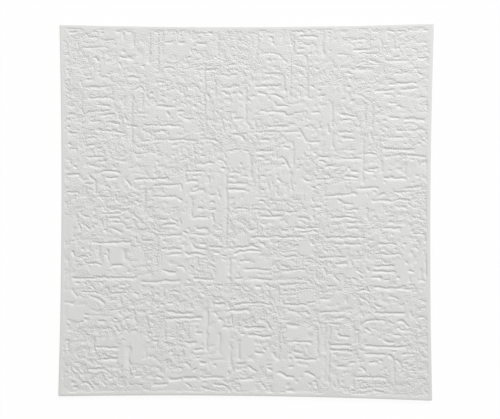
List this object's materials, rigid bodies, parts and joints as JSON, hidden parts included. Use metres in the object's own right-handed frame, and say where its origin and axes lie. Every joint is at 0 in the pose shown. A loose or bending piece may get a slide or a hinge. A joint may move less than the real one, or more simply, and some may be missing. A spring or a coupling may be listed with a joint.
{
  "type": "polystyrene ceiling tile",
  "caption": "Thin square tile of pressed polystyrene foam with a trowelled-plaster relief of pressed strokes, a flat plain rim and a flat glue face.",
  "frame": {"origin": "middle of the glue face", "axes": "+Z out of the patterned face, +X and +Y along the sides, with +Y towards the top of the pattern"},
  "size_m": [0.4998, 0.4998, 0.0035],
  "materials": {
    "polystyrene": "soft satin foam skin"
  },
  "bodies": {
    "root": {"tile": "polystyrene"}
  },
  "joints": []
}
